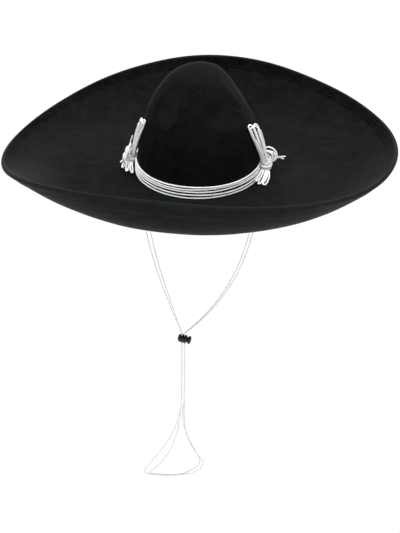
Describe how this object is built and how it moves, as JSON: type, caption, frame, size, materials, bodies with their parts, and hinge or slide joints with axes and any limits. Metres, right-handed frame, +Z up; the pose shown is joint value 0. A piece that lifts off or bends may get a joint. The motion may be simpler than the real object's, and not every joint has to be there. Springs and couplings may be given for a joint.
{
  "type": "sombrero",
  "caption": "Wide felt hat with a tall pinched crown, an upswept bound brim, a white cord band with side knots, and a chin cord through a sprung lock.",
  "frame": {"origin": "centre of the head opening, on the upper face of the flat part of the brim", "axes": "+Z up through the crown, -Y the front, +X the right side seen from the front of the hat"},
  "size_m": [0.5691, 0.5711, 0.719],
  "materials": {
    "crown_felt": "dark wool felt",
    "brim_felt": "black wool felt",
    "stiffener": "stiffened mesh",
    "binding": "folded felt binding",
    "wire": "drawn spring wire",
    "dark_thread": "polyester thread",
    "lining": "satin weave",
    "sweatband": "ribbed grosgrain",
    "white_cord": "twisted rayon cord",
    "tab": "woven tape",
    "eyelet": "darkened metal",
    "lock_plastic": "polished black plastic",
    "spring": "spring steel"
  },
  "bodies": {
    "hat": {"crown": "crown_felt", "crown_lining": "lining", "brim_top": "brim_felt", "brim_stiffener": "stiffener", "brim_bottom": "brim_felt", "rim_wire": "wire", "rim_binding": "binding", "rim_stitching": "dark_thread", "crown_seam_stitching": "dark_thread", "sweatband": "sweatband", "sweatband_stitching": "dark_thread", "hatband_cord": "white_cord", "left_standing_loops": "white_cord", "left_curl_loop": "white_cord", "left_knot": "white_cord", "left_hanging_loops": "white_cord", "left_cord_tails": "white_cord", "right_standing_loops": "white_cord", "right_curl_loop": "white_cord", "right_knot": "white_cord", "right_hanging_loops": "white_cord", "right_cord_tails": "white_cord", "left_cord_tab": "tab", "right_cord_tab": "tab", "left_eyelet": "eyelet", "right_eyelet": "eyelet"},
    "chin_cord": {"chin_cord": "white_cord"},
    "cord_lock": {"lock_body": "lock_plastic", "lock_spring": "spring"},
    "lock_button": {"lock_button": "lock_plastic"}
  },
  "joints": [
    {"name": "chin_cord_swing", "type": "hinge", "parent": "hat", "child": "chin_cord", "pos_m": [0, 0, -0.011], "axis": [1, 0, 0], "range_deg": [-80, 80]},
    {"name": "cord_lock_slide", "type": "slide", "parent": "chin_cord", "child": "cord_lock", "axis": [0, 0, -1], "range_m": [0, 0.1]},
    {"name": "lock_button_press", "type": "slide", "parent": "cord_lock", "child": "lock_button", "axis": [-0.9781, 0, 0.2079], "range_m": [0, 0.0016], "stiffness_N_per_m": 400, "springref_m": -0.003, "deforming": ["lock_spring"]}
  ]
}
